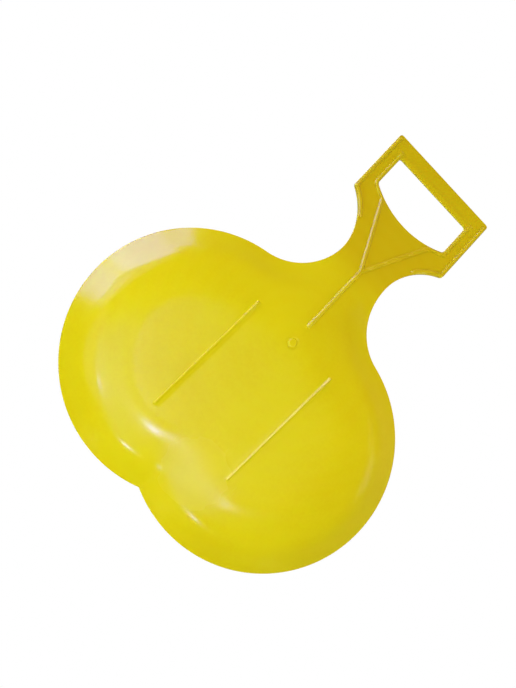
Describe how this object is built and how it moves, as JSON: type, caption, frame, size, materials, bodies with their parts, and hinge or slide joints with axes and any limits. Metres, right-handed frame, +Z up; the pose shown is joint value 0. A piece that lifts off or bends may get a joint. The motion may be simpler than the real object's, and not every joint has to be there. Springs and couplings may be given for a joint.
{
  "type": "snow slider",
  "caption": "Hand-held snow slider: a shallow two-lobed pan seat whose neck rises to a frame-shaped grip with a finger opening, on low runner ribs.",
  "frame": {"origin": "middle of the length and width, on the ground plane that the runner ribs stand on", "axes": "+X from the seat towards the hand grip, +Y across the slider, +Z up out of the seat"},
  "size_m": [0.4573, 0.3672, 0.0963],
  "materials": {
    "yellow_polyethylene": "injection-moulded polyethylene, opaque yellow with a soft waxy gloss"
  },
  "bodies": {
    "root": {"slider_shell": "yellow_polyethylene"}
  },
  "joints": []
}
